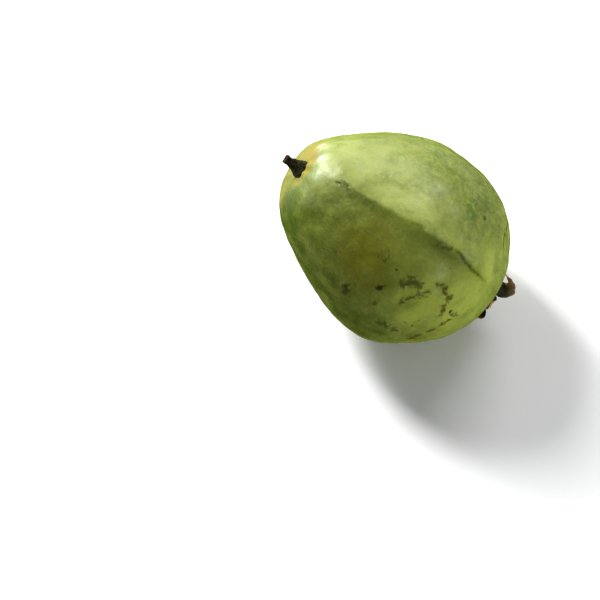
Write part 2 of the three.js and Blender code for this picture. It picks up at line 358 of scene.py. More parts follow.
def place_on_skin(places):
    """The upright points of the skin at (along, round) places in degrees."""
    along, round_ = np.radians(np.asarray(places, dtype=float)).T
    return polar_point(skin_radius(along, round_), along, round_)


def distance_to_run(points, places):
    """The shortest distance from each point to a run of straight pieces between places, in mm."""
    stations = place_on_skin(places)
    nearest = np.full(points.shape[:-1], np.inf)
    for start, end in zip(stations[:-1], stations[1:]):
        step = end - start
        share = np.clip(((points - start) @ step) / (step @ step), 0, 1)
        nearest = np.minimum(nearest, np.linalg.norm(points - start - share[..., None] * step, axis=-1))
    return nearest


def edge_of_marks(points, marks):
    """The distance to the edge of the nearest mark: negative inside it, and MARK_RANGE at most."""
    edge = np.full(points.shape[:-1], MARK_RANGE)
    for places, half_width in marks:
        edge = np.minimum(edge, distance_to_run(points, places) - half_width)
    return edge


def edge_of_flecks(points, seed=11, strewn=70):
    """As edge_of_marks, for the flecks that are placed and for others strewn by a seeded draw."""
    draw = np.random.default_rng(seed)
    flecks = list(FLECKS)
    for _ in range(strewn):
        height = draw.uniform(-0.93, 0.93)
        flecks.append((math.degrees(math.acos(height)), draw.uniform(0, 360), draw.uniform(0.12, 0.34)))
    edge = np.full(points.shape[:-1], MARK_RANGE)
    for along, round_, size in flecks:
        middle = place_on_skin([(along, round_)])[0]
        edge = np.minimum(edge, np.linalg.norm(points - middle, axis=-1) - size)
    return edge


# Lumps of the skin: height and size in millimetres, and seed.
LUMPS = ((0.16, 16, 1), (0.07, 7, 2), (0.03, 3, 3))


def skin_relief(points, along, round_):
    """How far the fine skin stands off its form: lumps of 16, 7 and 3 mm, pleats that run out of the
    stem pit and the basin, and a crease and a narrow slit along the main ridge."""
    lumps = sum(height * wave_noise(points, size, seed) for height, size, seed in LUMPS)

    # Seven pleats run out of the pit and nine out of the basin, unevenly spaced.
    to_stem = np.degrees(along)
    to_calyx = 180 - to_stem
    sway = 0.5 * wave_noise(points, 22, 4)
    pit_pleats = np.cos(7 * round_ + 2.2 * np.sin(2 * round_ + 1) + sway)
    pit_pleats = 0.3 * pit_pleats * bell(to_stem - 10, 5.5)
    basin_pleats = np.cos(9 * round_ + 1.6 * np.sin(3 * round_) + sway)
    basin_pleats = 0.26 * basin_pleats * bell(to_calyx - 13, 7)

    # The crease has a low brow on each side.
    crease = -0.1 * bell(distance_to_run(points, GROOVE), 0.8)
    crease += 0.03 * bell(distance_to_run(points, GROOVE) - 1.5, 0.7)
    slit = -0.3 * bell(distance_to_run(points, SLIT), 0.45)
    return lumps + pit_pleats + basin_pleats + crease + slit


def stem_lip(form):
    """The low collar of skin that closes round the foot of the stem, 3.9 mm from the stem's middle."""
    aside = np.hypot(form[..., 0] - STEM_ASIDE[0], form[..., 1] - STEM_ASIDE[1])
    return 0.35 * bell(aside - 3.9, 0.9) * (form[..., 2] > 0)


def rest_on_floor(points, softness=0.22):
    """Flattens what would sink below the floor, with a soft edge: (z + root of z squared plus softness
    squared) over 2."""
    height = points[..., 2]
    points = points.copy()
    points[..., 2] = (height + np.sqrt(height ** 2 + softness ** 2)) / 2
    return points


def fruit_points(along, round_):
    """The form's points in the upright frame, and the finished skin's points where the fruit lies."""
    radius = skin_radius(along, round_)
    form = polar_point(radius, along, round_)
    radius = radius + skin_relief(form, along, round_) + stem_lip(form)
    upright = polar_point(radius, along, round_)
    return form, rest_on_floor(lay_down(upright))


# Where the skin is tinted: along, round, reach in millimetres and strength. Pale places on the upper
# side and just above the main ridge are painted light where the key light falls, partly the paler skin
# the sun ripened; round the hidden sides they are the skin's own paler tone. Ripe ones turn yellow.
# Dusky ones are a deeper green, and on the lower left flank they are painted shade.
PALE_AND_LIT_PLACES = (
    (25, 13, 15, 0.7), (50, 18, 16, 0.35), (57, -8, 7, 0.85), (73, -10, 5, 0.5), (85, -14, 5, 0.4),
    (60, 120, 15, 0.7), (105, 175, 16, 0.7), (135, 90, 12, 0.5), (75, -150, 14, 0.4),
)
RIPE_PLACES = (
    (120, -42, 13, 1.2), (121, -11, 8, 0.6), (64, -28, 5, 0.45), (88, -46, 10, 0.45), (96, -66, 9, 0.6),
    (76, -34, 8, 0.4), (30, -74, 9, 0.3), (92, -12, 5, 0.4), (140, -120, 12, 0.6), (70, 90, 12, 0.4),
    (120, 150, 14, 0.5),
)
# The dusky places on the lower left flank are painted shade; the others are a deeper green of the skin.
DUSKY_AND_SHADED_PLACES = (
    (22, -102, 12, 0.9), (27, -80, 10, 0.15), (60, -102, 15, 0.95), (94, -93, 9, 0.8),
    (119, -80, 5, 0.3), (14, -120, 7, 0.2), (78, 18, 9, 0.2),
    (110, 10, 10, 0.4), (52, 62, 12, 0.3), (95, 45, 14, 0.35), (112, -20, 5, 0.3), (38, 48, 10, 0.3),
    (28, -46, 8, 0.4), (92, -4, 4, 0.25), (80, 100, 15, 0.5), (60, 180, 14, 0.5), (115, -150, 16, 0.5),
)
OLIVE_PLACES = (
    (62, -56, 13, 1.0), (52, -40, 7, 0.4), (80, 150, 16, 0.8), (98, -125, 12, 0.6), (119, -77, 6, 0.6),
)
OCHRE_PLACES = (
    (10, 70, 5.5, 1.0), (8, 10, 4, 0.9), (7, -60, 4.5, 0.8), (15, -134, 5, 0.7), (8, 150, 6, 0.7),
    (170, 60, 7, 0.5),
)

# Where the painted shade of the lower flank begins, round: near the crest of the main ridge.
SHADE_FROM = -18.2


def tint(form, places, seed):
    """Bells about places on the skin, with their edges moved in and out by soft noise."""
    total = np.zeros(form.shape[:-1])
    for along, round_, reach, strength in places:
        middle = place_on_skin([(along, round_)])[0]
        total += strength * bell(np.linalg.norm(form - middle, axis=-1), reach)
    return np.clip(total * (1 + 0.4 * wave_noise(form, 8, seed)), 0, 1)


def degrees_below_ridge(form, round_):
    """How many degrees a point lies round from the main ridge, toward the shaded side, 0 to 360, with
    a soft uneven edge. Just above the ridge it is a little below 0."""
    below = np.degrees((math.radians(SHADE_FROM) - round_) % (2 * math.pi))
    below = np.where(below > 300, below - 360, below)
    return below + 0.9 * wave_noise(form, 5, 22)


def shaded_side(form, along, round_):
    """Painted shade on the flank below the main ridge, darkest in a narrow band just under it, partly
    the greener skin that the sun did not ripen. It begins sharply at the main ridge.
    """
    degrees = np.degrees(along)
    below = degrees_below_ridge(form, round_)
    shade = smooth_step(below, -1, 1.6) * (1 - 0.88 * smooth_step(below, 3, 12))
    shade = shade * (1 - smooth_step(below, 110, 160)) * smooth_step(degrees, 20, 48)
    return shade * (1 - 0.6 * smooth_step(degrees, 92, 126))


def pale_and_lit_side(form, along, round_):
    """The pale places, which stop at the main ridge: painted light on the lit upper side, partly paler
    sunned skin.
    """
    below = degrees_below_ridge(form, round_)
    beyond = smooth_step(below, -1, 1.6) * smooth_step(np.degrees(along), 16, 34)
    return tint(form, PALE_AND_LIT_PLACES, 23) * (1 - 0.9 * beyond * (below < 90))


def wax_left(form, along, round_):
    """How much wax the skin has kept: least on the flank below the main ridge, where it was rubbed,
    and in the crease."""
    degrees = np.degrees(along)
    below = degrees_below_ridge(form, round_)
    rubbed = smooth_step(below, 4, 30) * (1 - smooth_step(below, 125, 175))
    rubbed = rubbed * smooth_step(degrees, 12, 24) * (1 - 0.4 * smooth_step(degrees, 100, 125))
    calyx_half = 0.65 * smooth_step(degrees, 84, 116)
    in_crease = 0.85 * bell(distance_to_run(form, GROOVE), 2.2)
    return (1 - 0.92 * rubbed) * (1 - calyx_half) * (1 - in_crease)


class GuavaSkin(bpy.types.PropertyGroup):
    rows: IntProperty(
        name="Rows", description="Rows of the skin's grid, from end to end", default=236, min=40,
    )
    columns: IntProperty(
        name="Columns", description="Columns of the skin's grid, round the fruit", default=400, min=60,
    )
    pore_spacing: FloatProperty(
        name="Pore spacing", description="Distance between the pale oil glands in the skin",
        default=0.8 * MM, unit="LENGTH", precision=5,
    )
    bright_green: FloatVectorProperty(
        name="Bright green", description="Skin where it is ripest", subtype="COLOR", size=4,
        default=srgb("#767E38"), min=0, max=1,
    )
    middle_green: FloatVectorProperty(
        name="Middle green", description="Most of the skin", subtype="COLOR", size=4,
        default=srgb("#68732C"), min=0, max=1,
    )
    deep_green: FloatVectorProperty(
        name="Deep green", description="Blue-green mottling", subtype="COLOR", size=4,
        default=srgb("#4F6E28"), min=0, max=1,
    )


class GuavaStem(bpy.types.PropertyGroup):
    length: FloatProperty(
        name="Length", description="From the floor of the stem pit to the cut tip",
        default=7.4 * MM, unit="LENGTH", precision=5,
    )
    foot_radius: FloatProperty(
        name="Foot radius", description="Half width of the flared foot", default=3.3 * MM,
        unit="LENGTH", precision=5,
    )
    waist_radius: FloatProperty(
        name="Waist radius", description="Half width halfway up", default=2.15 * MM,
        unit="LENGTH", precision=5,
    )
    tip_radius: FloatProperty(
        name="Tip radius", description="Half width at the cut", default=1.5 * MM,
        unit="LENGTH", precision=5,
    )
    bark: FloatVectorProperty(
        name="Bark", description="Dried bark of the stub", subtype="COLOR", size=4,
        default=srgb("#1B190A"), min=0, max=1,
    )


class GuavaCalyx(bpy.types.PropertyGroup):
    sepal_thickness: FloatProperty(
        name="Sepal thickness", description="Thickness at the middle of a sepal", default=0.9 * MM,
        unit="LENGTH", precision=5,
    )
    dry_brown: FloatVectorProperty(
        name="Dry brown", description="Leathery face of the sepals", subtype="COLOR", size=4,
        default=srgb("#C0966A"), min=0, max=1,
    )


class GuavaStage(bpy.types.PropertyGroup):
    elevation: FloatProperty(
        name="Camera elevation", description="Height of the camera above the horizon",
        default=math.radians(64), subtype="ANGLE",
    )
    azimuth: FloatProperty(
        name="Camera azimuth", description="Turn of the camera, 0 looks along +Y",
        default=math.radians(21), subtype="ANGLE",
    )
    distance: FloatProperty(
        name="Camera distance", description="From the camera to the fruit's plane", default=0.8,
        unit="LENGTH",
    )
    key_power: FloatProperty(
        name="Key power", description="Strength of the soft window light behind on the left",
        default=17.0, unit="POWER",
    )
    strip_power: FloatProperty(
        name="Strip power", description="Strength of the low strip beside the window light", default=2.4,
        unit="POWER",
    )
    back_power: FloatProperty(
        name="Back power", description="Strength of the second light, behind to the right", default=5.8,
        unit="POWER",
    )
    side_power: FloatProperty(
        name="Side power", description="Strength of the low light on the right", default=6.5,
        unit="POWER",
    )
    fill: FloatProperty(name="Fill", description="Strength of the pale surroundings", default=0.19)


def guava_skin_material(sizes):
    """Guava skin: a thin living rind with a natural wax. It grew, so nothing on it is even: greens
    drift into each other, pale oil glands dot it, and old rubs have healed as corky russet. The wax
    gives a dull, wide highlight that the pebbled surface breaks up. Real glands stand about 0.4 mm
    apart, which is too fine to show, so they are drawn twice as far apart."""
    material, tree, place, patterns = start_material(
        "Guava skin, waxy",
        (
            ("drift", 26, 2, 0.5, 0), ("mottle", 7, 3, 0.6, 0.4), ("leather", 2.8, 4, 0.6, 0.5),
            ("pebble", 2.2, 3, 0.6, 0), ("grain", 1.6, 3, 0.65, 0), ("shreds", 1.5, 3, 0.6, 0),
            ("speckle", 1.0, 3, 0.6, 0),
        ),
        (
            "shade", "pale_and_lit", "ripe", "olive", "dusk_and_shade", "ochre", "bloom_and_highlight", "wax",
            "bruise", "scar", "fleck", "groove",
        ),
    )

    # A gland is a round dot in each cell, larger where the mottle is strong.
    cells = node(tree, "TexVoronoi", {"feature": "F1"}, {
        "Vector": place, "Scale": 1 / sizes.pore_spacing, "Randomness": 0.95,
    }, "Distance")
    cells = node(tree, "Math", TIMES_PLUS, {0: patterns["mottle"], 1: -0.3, 2: cells})
    patterns["glands"] = node(tree, "MapRange", EASE, {
        "Value": cells, "From Min": 0.24, "From Max": 0.08,
    })

    # The edge of a mark is frayed by shreds this deep, and fades from outside to inside of its outline.
    for key, fray, outside, inside in (
        ("bruise", 7.8, 1.1, -0.9), ("scar", 4.8, 0.55, -0.4),
        ("fleck", 1.5, 0.22, -0.15), ("groove", 2.1, 0.9, -0.5),
    ):
        edge = node(tree, "Math", TIMES_PLUS, {0: patterns["shreds"], 1: fray, 2: patterns[key]})
        patterns[key] = node(tree, "MapRange", EASE, {
            "Value": edge, "From Min": outside + fray / 2, "From Max": inside + fray / 2,
        })

    # The mottle moves the edge of the ochre, and the grain breaks up the bloom and its painted
    # highlights.
    patterns["ochre"] = node(tree, "Math", TIMES_PLUS, {
        0: patterns["mottle"], 1: 0.5, 2: patterns["ochre"],
    })
    unbroken = node(tree, "MapRange", EASE, {
        "Value": patterns["grain"], "From Min": 0.25, "From Max": 0.65,
    })
    patterns["bloom_and_highlight"] = node(tree, "Math", TIMES, {0: patterns["bloom_and_highlight"], 1: unbroken})

    cork = lay_tints(tree, patterns, srgb("#2A220A"), (
        ("grain", EVEN, 0.3, 0.55, 1, "#4A3C14", OVER),
        ("grain", EVEN, 0.55, 0.8, 1, "#6E6030", OVER),
    ))
    colour = lay_tints(tree, patterns, sizes.middle_green[:], (
        ("drift", EASE, 0.36, 0.62, 1, sizes.bright_green[:], OVER),
        ("mottle", EASE, 0.5, 0.72, 0.75, sizes.deep_green[:], OVER),
        ("leather", EASE, 0.5, 0.75, 0.5, "#9DAC50", OVER),
        ("leather", EASE, 0.5, 0.25, 0.7, "#B4C09A", STAIN),
        ("speckle", EASE, 0.45, 0.7, 0.3, "#9FAF5C", OVER),
        # Painted shade: the flank below the main ridge darkened, partly greener unripened skin.
        ("shade", EVEN, 0, 1, 0.9, "#9AA24A", STAIN),
        # Painted light: paler over the lit upper side, stopping at the main ridge, partly paler sunned
        # skin.
        ("pale_and_lit", EVEN, 0, 1, 0.8, "#9AA258", OVER),
        ("ripe", EVEN, 0, 1, 0.92, "#929E40", OVER),
        ("olive", EVEN, 0, 1, 0.7, "#6C6810", OVER),
        # Painted shade on the lower left flank, and a deeper green elsewhere.
        ("dusk_and_shade", EVEN, 0, 1, 1, "#A2B07C", STAIN),
        ("ochre", EASE, 0.4, 1.2, 1, "#8A7E34", OVER),
        ("grain", EASE, 0.4, 0.75, 0.22, "#465A22", OVER),
        # Whitish wax bloom, with painted highlights round the stem pit and above the main ridge.
        ("bloom_and_highlight", EVEN, 0, 1, 0.6, "#D6E2CC", OVER),
        ("glands", EVEN, 0, 1, 0.1, "#8E9850", OVER),
        ("bruise", EVEN, 0, 1, 0.7, "#2B3012", OVER),
        ("scar", EVEN, 0, 1, 0.85, cork, OVER),
        ("fleck", EVEN, 0, 1, 0.7, "#2A2010", OVER),
        ("groove", EVEN, 0, 1, 1, "#98A26E", STAIN),
    ))

    # The wax shines where the skin faces the eye, and scars are dull.
    shine = node(tree, "Math", TIMES_PLUS, {0: patterns["mottle"], 1: 0.2, 2: 0.22})
    shine = node(tree, "Math", TIMES_PLUS, {0: patterns["scar"], 1: 0.3, 2: shine})
    facing = node(tree, "LayerWeight", {}, {"Blend": 0.5}, "Facing")
    gloss = node(tree, "MapRange", EASE, {
        "Value": facing, "From Min": 0.9, "From Max": 0.35, "To Max": 0.5,
    })
    gloss = node(tree, "Math", TIMES, {0: gloss, 1: patterns["wax"]})
    reliefs = (("pebble", 0.07), ("glands", 0.015), ("grain", 0.02), ("scar", 0.06))
    finish_material(tree, patterns, colour, reliefs, {
        "Roughness": shine, "Specular IOR Level": 0.0, "Coat Weight": gloss, "Coat Roughness": 0.34,
        "Coat IOR": 1.45, "Subsurface Weight": 0.06, "Subsurface Radius": (0.6, 1.0, 0.25),
        "Subsurface Scale": 1.6 * MM,
    })
    return material


def dried_bark_material(sizes):
    """Dried stalk bark: a thin shrunken bark over wood, nearly black, with olive dust on its ribs and
    a torn brown cut at the tip. It is dull all over."""
    material, tree, _, patterns = start_material(
        "Guava stalk, dried bark", (("patches", 1.1, 4, 0.65, 0), ("fine", 0.35, 3, 0.6, 0)), ("cut",),
    )
    wood = lay_tints(tree, patterns, srgb("#1A0C07"), (
        ("fine", EVEN, 0.3, 0.55, 1, "#28130B", OVER),
        ("fine", EVEN, 0.55, 0.8, 1, "#3C2415", OVER),
    ))
    bark = lay_tints(tree, patterns, sizes.bark[:], (
        ("patches", EASE, 0.4, 0.7, 1, "#363314", OVER),
        ("fine", EASE, 0.55, 0.75, 0.35, "#66643A", OVER),
        ("cut", EVEN, 0, 1, 1, wood, OVER),
    ))
    finish_material(tree, patterns, bark, (("patches", 0.12), ("fine", 0.05)), {
        "Roughness": 0.85, "Specular IOR Level": 0.12,
    })
    return material


def dried_sepal_material(sizes):
    """Dried sepals: leathery leaf tissue that browned and curled on the fruit. Veins run to the tip,
    the inner face is a dull tan, the back kept a grey olive, and the edges are nearly black. The root
    and the ring are nearly black too, painted shade in the basin over a darker dried root."""
    material, tree, _, patterns = start_material(
        "Guava sepal, dried", (("patches", 1.8, 4, 0.6, 0), ("fine", 0.4, 3, 0.6, 0)),
        ("back", "dark_and_shaded", "rim", "vein"),
    )
    patterns["rim"] = node(tree, "Math", TIMES_PLUS, {
        0: patterns["patches"], 1: 0.6, 2: patterns["rim"],
    })
    face = lay_tints(tree, patterns, srgb("#9C7450"), (
        ("patches", EASE, 0.3, 0.62, 1, sizes.dry_brown[:], OVER),
        ("back", EVEN, 0, 1, 0.85, "#5A5E3E", OVER),
        # Painted shade: the ring and the sepals' roots nearly black, over their own darker dried colour.
        ("dark_and_shaded", EVEN, 0, 1, 0.92, "#14170A", OVER),
        ("rim", EASE, 1.05, 1.4, 0.6, "#2C2214", OVER),
        ("vein", EVEN, 0, 1, 0.5, "#2E1F12", OVER),
    ))
    finish_material(tree, patterns, face, (("patches", 0.12), ("fine", 0.05)), {
        "Roughness": 0.78, "Specular IOR Level": 0.15,
    })
    return material


def white_board_material():
    """Painted board: matt white emulsion, with the faintest rolled texture."""
    material, tree, _, patterns = start_material(
        "Painted board, matt white", (("rolled", 3, 3, 0.6, 0),),
    )
    paint = lay_tints(tree, patterns, srgb("#F7F7F7"), (("rolled", EVEN, 0, 1, 0.3, "#F1F1F2", OVER),))
    finish_material(tree, patterns, paint, (), {"Roughness": 0.9, "Specular IOR Level": 0.1})
    return material


def settle(piece, material, node_name):
    """Gives a finished piece its material and its body, and hides the solid that it stands for."""
    piece.data.materials.append(material)
    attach(piece, "root")
    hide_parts(node_name)


class GUAVA_OT_fruit(bpy.types.Operator):
    """Builds the skin of the fruit over its solid"""

    bl_idname = "guava.fruit"
    bl_label = "Build fruit"

    def execute(self, context):
        sizes = context.scene.guava_skin
        along, round_ = angle_grid(sizes.rows, sizes.columns)
        form, rings = fruit_points(along, round_)
        ends = np.array([0.0, math.pi])
        end_form, end_points = fruit_points(ends, np.zeros(2))
        attributes = {
            "pale_and_lit": (pale_and_lit_side(form, along, round_), 0.0, 0.0),
            "ripe": (tint(form, RIPE_PLACES, 28), 0.0, 0.0),
            "dusk_and_shade": (tint(form, DUSKY_AND_SHADED_PLACES, 24), 0.0, 0.0),
            "olive": (tint(form, OLIVE_PLACES, 25), 0.0, 0.0),
            "ochre": (tint(form, OCHRE_PLACES, 26), 1.0, 0.0),
            "shade": (shaded_side(form, along, round_), 0.0, 0.0),
            "wax": (wax_left(form, along, round_), 1.0, 1.0),
            "scar": (edge_of_marks(form, SCARS), MARK_RANGE, MARK_RANGE),
            "bruise": (edge_of_marks(form, BRUISES), MARK_RANGE, MARK_RANGE),
            "fleck": (edge_of_flecks(form), MARK_RANGE, MARK_RANGE),
            "groove": (edge_of_marks(form, CREASES), MARK_RANGE, MARK_RANGE),
            "bloom_and_highlight": (tint(form, BLOOMS_AND_HIGHLIGHTS, 27), 0.0, 0.0),
        }
        piece = capped_mesh("fruit_skin", rings, end_points[0], end_points[1], attributes)
        settle(piece, guava_skin_material(sizes), "fruit_body")
        return {"FINISHED"}


# How far the stub is sunk below the floor of the pit, in millimetres, and the rows that its cut takes.
# Then the shares of its length between which the foot narrows and the tip tapers, the swelling below
# the cut (height, share and spread), and the corners.
STEM_SUNK = 1.4
CUT_ROWS = 12
FLARE = (0.03, 0.5)
TAPER = (0.35, 0.85)
SWELLING = (0.12, 0.9, 0.06)
CORNERS = 4
CORNER_STRENGTH = 0.1
CORNER_ROUND = 19


def stem_rings(sizes, rows=90, columns=120):
    """The stub on the axis: rings whose radius eases from the foot to the waist to the tip, pressed
    into four corners, with fine ribs and a lumpy bark. Ends in a rough cut."""
    seat = skin_radius(np.zeros(1), np.zeros(1))[0]
    length = sizes.length / MM
    foot, waist, tip = (r / MM for r in (sizes.foot_radius, sizes.waist_radius, sizes.tip_radius))
    side_rows = rows - CUT_ROWS
    height = np.concatenate([np.linspace(-STEM_SUNK, length, side_rows), np.full(CUT_ROWS, length)])
    inset = np.concatenate([np.ones(side_rows), np.linspace(0.97, 0.06, CUT_ROWS)])
    share = np.clip(height / length, 0, 1)
    radius = waist + (foot - waist) * (1 - smooth_step(share, *FLARE))
    radius = radius + (tip - waist) * smooth_step(share, *TAPER)
    swelling, at_share, spread = SWELLING
    radius = radius + swelling * bell(share - at_share, spread)
    radius = radius * inset
    round_ = np.arange(columns) / columns * 2 * math.pi
    height, round_ = np.meshgrid(height, round_, indexing="ij")
    corner = np.cos(CORNERS * (round_ - math.radians(CORNER_ROUND)))
    radius = radius[:, None] * (1 + CORNER_STRENGTH * corner)
    point = np.stack([radius * np.cos(round_), radius * np.sin(round_), height], axis=-1)
    ribs = 0.07 * np.cos(17 * round_ + 0.6 * np.sin(height * 0.9)) * inset[:, None]
    lumps = 0.12 * wave_noise(point, 2.2, 31) + 0.05 * wave_noise(point, 0.9, 32)
    radius = radius + (ribs + lumps) * inset[:, None]
    cut = smooth_step(height, length - 0.12, length - 0.01)
    rough_cut = 0.12 * wave_noise(point, 1.0, 33) * cut
    upright = np.stack([
        STEM_ASIDE[0] + radius * np.cos(round_),
        STEM_ASIDE[1] + radius * np.sin(round_),
        seat + height + rough_cut - 0.1 * cut,
    ], axis=-1)
    return upright, cut


class GUAVA_OT_stem(bpy.types.Operator):
    """Builds the stub of the stem with its bark and its cut tip"""

    bl_idname = "guava.stem"
    bl_label = "Build stem"

    def execute(self, context):
        sizes = context.scene.guava_stem
        upright, cut = stem_rings(sizes)
        foot = upright[0].mean(axis=0)
        tip = upright[-1].mean(axis=0)
        rings = lay_down(upright[::-1])
        attributes = {"cut": (cut[::-1], 1.0, 0.0)}
        piece = capped_mesh("stem_stub", rings, lay_down(tip), lay_down(foot), attributes)
        settle(piece, dried_bark_material(sizes), "stem")
        return {"FINISHED"}


def calyx_to_fruit(points):
    """Turns points from the calyx's frame, outward side up, to the fruit's upright frame."""
    seat = skin_radius(np.full(1, math.pi), np.zeros(1))[0]
    turned = points * np.array([1.0, -1.0, -1.0])
    return turned - np.array([0, 0, seat])


def calyx_ring_rings(columns=140):
    """The ring turned about the axis: from the style's tip down to the dished floor, up over the rim
    and down its outside into the skin. The profile is from the axis and up, in millimetres."""
    profile = np.array([
        (0.18, 2.72), (0.34, 2.6), (0.42, 2.2), (0.42, 1.6), (0.52, 1.1), (0.8, 0.75), (1.3, 0.6),
        (2.0, 0.5), (2.8, 0.35), (3.4, 0.4), (3.9, 0.75), (4.25, 1.15), (4.6, 1.4), (4.95, 1.48),
        (5.2, 1.3), (5.35, 0.9), (5.4, 0.4), (5.4, -0.2), (5.3, -0.8), (4.6, -1.3),
        (2.5, -1.45), (0.4, -1.48),
    ])
    steps = np.linspace(0, len(profile) - 1, 90)
    base = np.arange(len(profile))
    aside = np.interp(steps, base, profile[:, 0])
    height = np.interp(steps, base, profile[:, 1])
    round_ = np.arange(columns) / columns * 2 * math.pi
    aside, turn = np.meshgrid(aside, round_, indexing="ij")
    height = np.broadcast_to(height[:, None], aside.shape)
    point = np.stack([aside * np.cos(turn), aside * np.sin(turn), height], axis=-1)
    folds = 0.12 * np.cos(23 * turn + np.sin(3 * turn)) * smooth_step(aside, 2.6, 4.4)
    crumble = 0.16 * wave_noise(point, 1.7, 41) + 0.08 * wave_noise(point, 0.7, 42)
    shift = (folds + crumble) * smooth_step(aside, 0.2, 0.8)
    aside = aside + 0.3 * shift
    height = height + shift
    return np.stack([aside * np.cos(turn), aside * np.sin(turn), height], axis=-1)


# How far along each sepal its dark root reaches, painted shade over a darker dried root, and the grey
# olive of its back.
SEPAL_TINTS = ((0.5, 0.5), (1.2, 1.3), (0.65, 1.3), (0.65, 1.3), (0.75, 1.3))

# The course of a sepal's rib from its root: shares of the way out, of the stand and of the lean.
RIB_COURSE = ((0.1, 0.45, 0), (0.35, 0.9, 0.25), (0.7, 0.92, 0.6), (0.93, 0.55, 0.9), (1, 0.28, 1))


# A sepal is widest where the share of the way out, raised to FULLEST, is a half. The powers of its
# outline and of its thickness, how deep it is cupped in millimetres, and where its twist is done.
FULLEST = 0.65
OUTLINE_POWER = 0.7
THINNING_POWER = 0.4
CUP = 0.7
TWIST_DONE = 0.45


def smooth_line(controls, share):
    """A smooth line through control points by Catmull-Rom pieces, at shares from 0 to 1."""
    controls = np.asarray(controls, dtype=float)
    before, after = 2 * controls[0] - controls[1], 2 * controls[-1] - controls[-2]
    padded = np.concatenate([[before], controls, [after]])
    place = np.clip(share, 0, 1) * (len(controls) - 1)
    first = np.minimum(place.astype(int), len(controls) - 2)
    t = (place - first)[:, None]
    a, b, c, d = (padded[first + k] for k in range(4))
    return 0.5 * (2 * b + (c - a) * t + (2 * a - 5 * b + 4 * c - d) * t ** 2
                  + (3 * b - a - 3 * c + d) * t ** 3)


def sepal_rings(sizes, shape, tints, seed, rows=70, columns=64):
    """One sepal: an arched rib from the rim, with a flat oval section whose half width follows
    sin(pi s^FULLEST)^OUTLINE_POWER. It is cupped and twisted, its edges curl and fray, and veins run
    along it."""
    round_, stand, reach, lean, twist, width = shape
    root = RING_RADIUS - 0.6
    rib = [(root, 0, -0.75)]
    for out, up, aside in RIB_COURSE:
        rib.append((root + (reach - root) * out, lean * aside, stand * up))
    share = np.linspace(0.004, 0.996, rows)
    line = smooth_line(rib, share)
    step = np.gradient(line, axis=0)
    step /= np.linalg.norm(step, axis=1, keepdims=True)
    inward = np.cross(step, np.array([0.0, 1.0, 0.0]))
    inward /= np.linalg.norm(inward, axis=1, keepdims=True)
    edgeward = np.cross(inward, step)
    turn = (math.radians(twist) * np.clip(share / TWIST_DONE, 0, 1))[:, None]
    inward, edgeward = (
        inward * np.cos(turn) - edgeward * np.sin(turn),
        edgeward * np.cos(turn) + inward * np.sin(turn),
    )
    fullness = np.sin(math.pi * share ** FULLEST)[:, None] ** OUTLINE_POWER
    thickness = sizes.sepal_thickness / MM / 2 * np.sin(math.pi * share)[:, None] ** THINNING_POWER
    about = np.arange(columns)[None, :] / columns * 2 * math.pi
    across = np.sin(about)
    edge = np.abs(across) ** 3
    flat = line[:, None] + (width / 2 * fullness * across)[..., None] * edgeward[:, None]
    fray = 1 + 0.1 * wave_noise(flat, 1.6, seed) * edge
    crumple = 0.28 * wave_noise(flat, 3.2, seed + 1) * np.abs(across)
    crumple += 0.1 * wave_noise(flat, 1.3, seed + 2)
    vein = np.cos(across * 9) ** 8 * (1 - edge)
    lift = thickness * np.cos(about) * (1 - 0.35 * edge) + CUP * across ** 2 * fullness + crumple
    lift = lift - 0.06 * vein * np.cos(about)
    point = line[:, None] + (width / 2 * fullness * across * fray)[..., None] * edgeward[:, None]
    point = point + lift[..., None] * inward[:, None]
    turn = -math.radians(round_)
    rings = np.stack([
        point[..., 0] * math.cos(turn) - point[..., 1] * math.sin(turn),
        point[..., 0] * math.sin(turn) + point[..., 1] * math.cos(turn),
        point[..., 2],
    ], axis=-1)
    tip = smooth_step(share - 0.9, 0, 0.08)[:, None]
    rim = np.maximum(edge, tip)
    shaded_root_reach, olive_back = tints
    shaded_root_share = 1 - smooth_step(share, shaded_root_reach - 0.16, shaded_root_reach)[:, None]
    shaded_root_share = np.broadcast_to(shaded_root_share, rim.shape)
    tan_tip = smooth_step(share, olive_back - 0.1, olive_back + 0.1)[:, None]
    back = smooth_step(-np.cos(about), -0.1, 0.5) * (1 - tan_tip)
    return rings, {
        "rim": (rim, 1.0, 1.0),
        "vein": (np.broadcast_to(vein, rim.shape), 0.0, 0.0),
        "dark_and_shaded": (shaded_root_share, 1.0, 0.0),
        "back": (back, 0.5, 0.5),
    }


